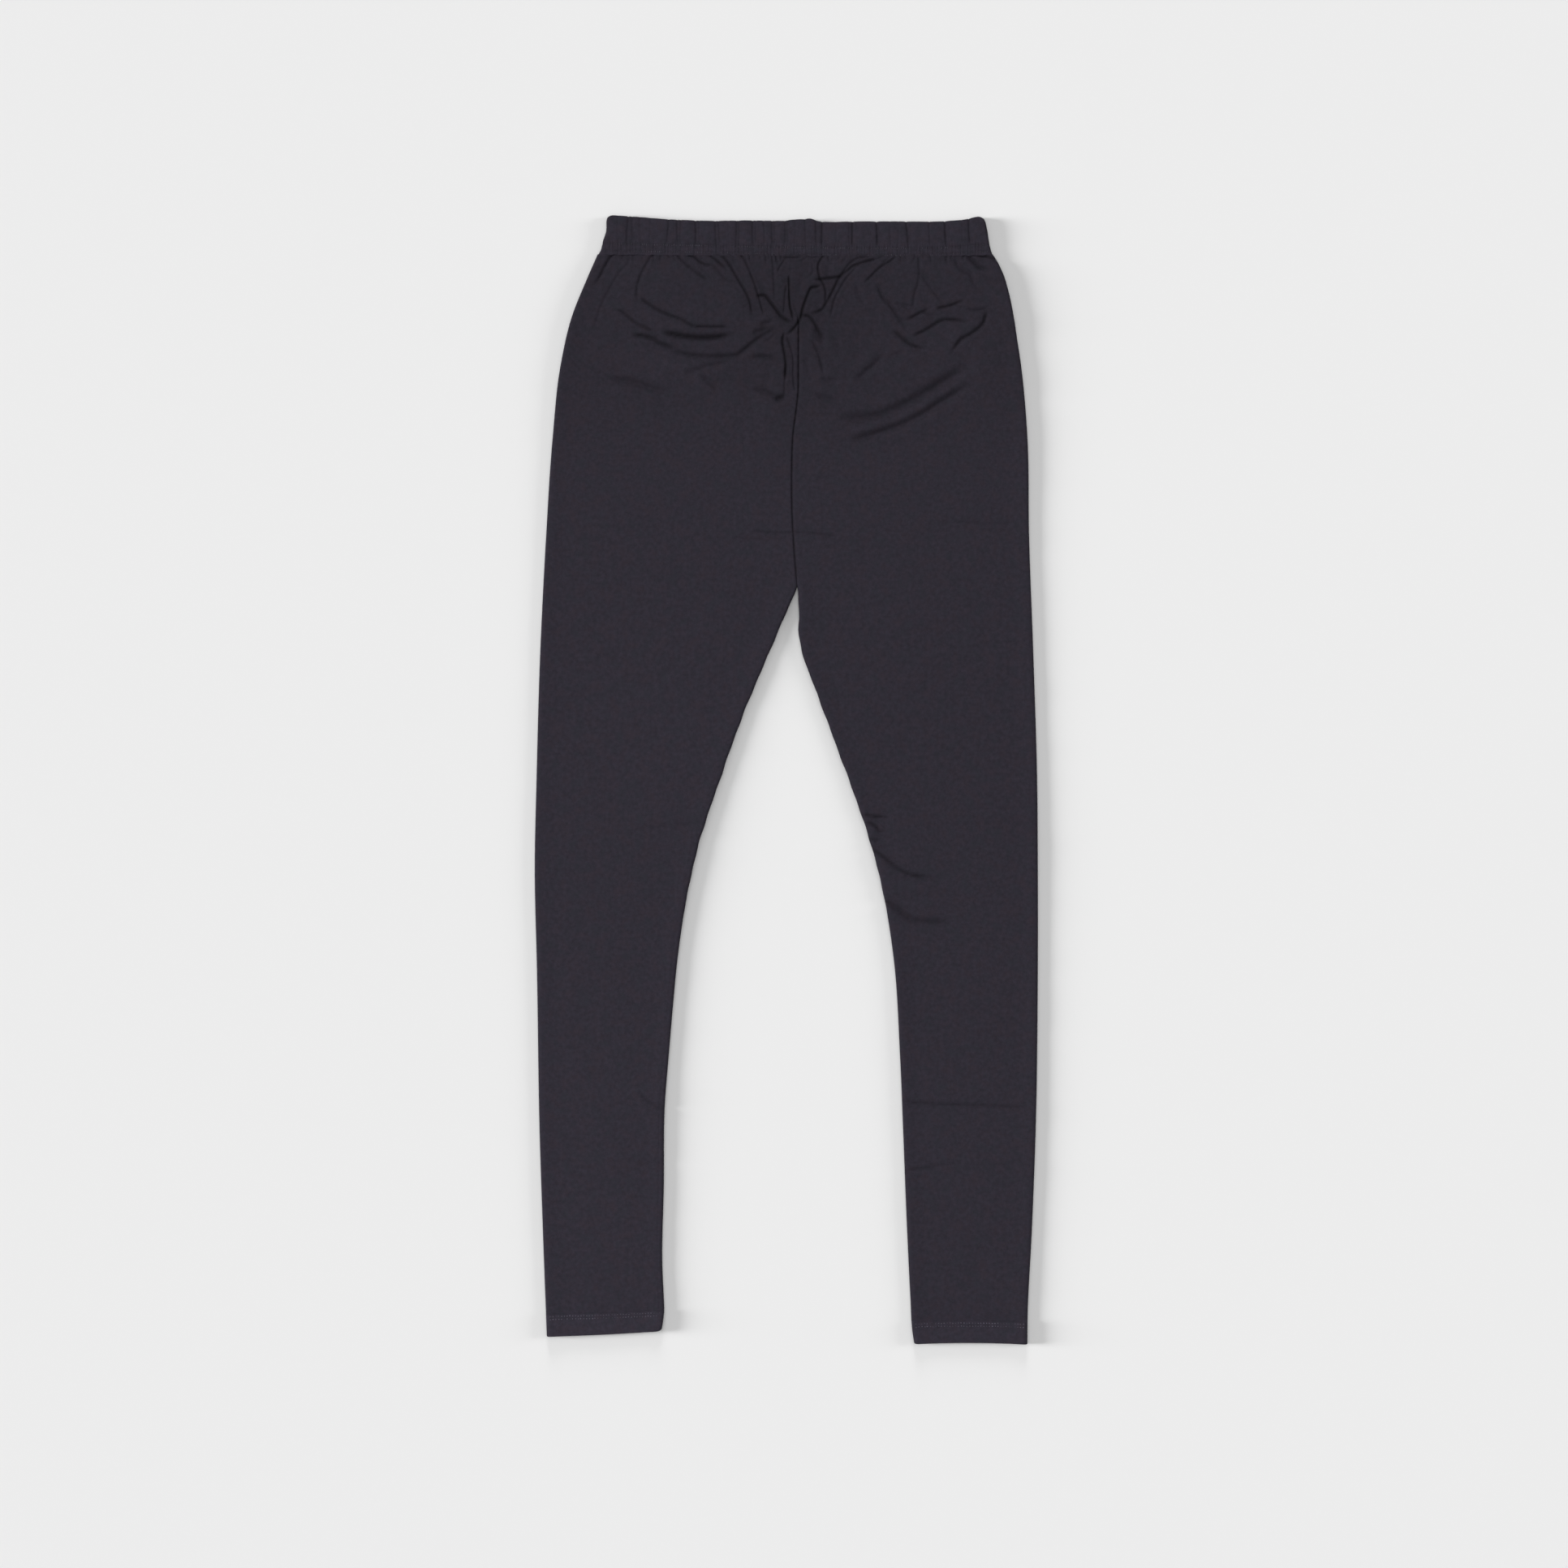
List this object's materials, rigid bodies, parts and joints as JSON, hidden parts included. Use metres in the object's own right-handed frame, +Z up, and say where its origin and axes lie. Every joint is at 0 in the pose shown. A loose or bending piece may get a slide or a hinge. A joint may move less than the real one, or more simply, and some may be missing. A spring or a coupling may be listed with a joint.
{
  "type": "churidar pants",
  "caption": "Pull-on churidar pants in plain knitted jersey, laid flat, with slim legs that taper to the ankle and a gathered waistband.",
  "frame": {"origin": "middle of the garment's outline, on the surface that it lies on", "axes": "+Y from the hems to the waist, +X across to the wearer's left leg, +Z up out of the front"},
  "size_m": [0.4673, 1.0484, 0.007],
  "materials": {
    "jersey": "matt single jersey knit, charcoal",
    "casing": "matt single jersey knit gathered over elastic, charcoal"
  },
  "bodies": {
    "root": {"right_leg": "jersey", "left_leg": "jersey", "waistband": "casing"}
  },
  "joints": []
}
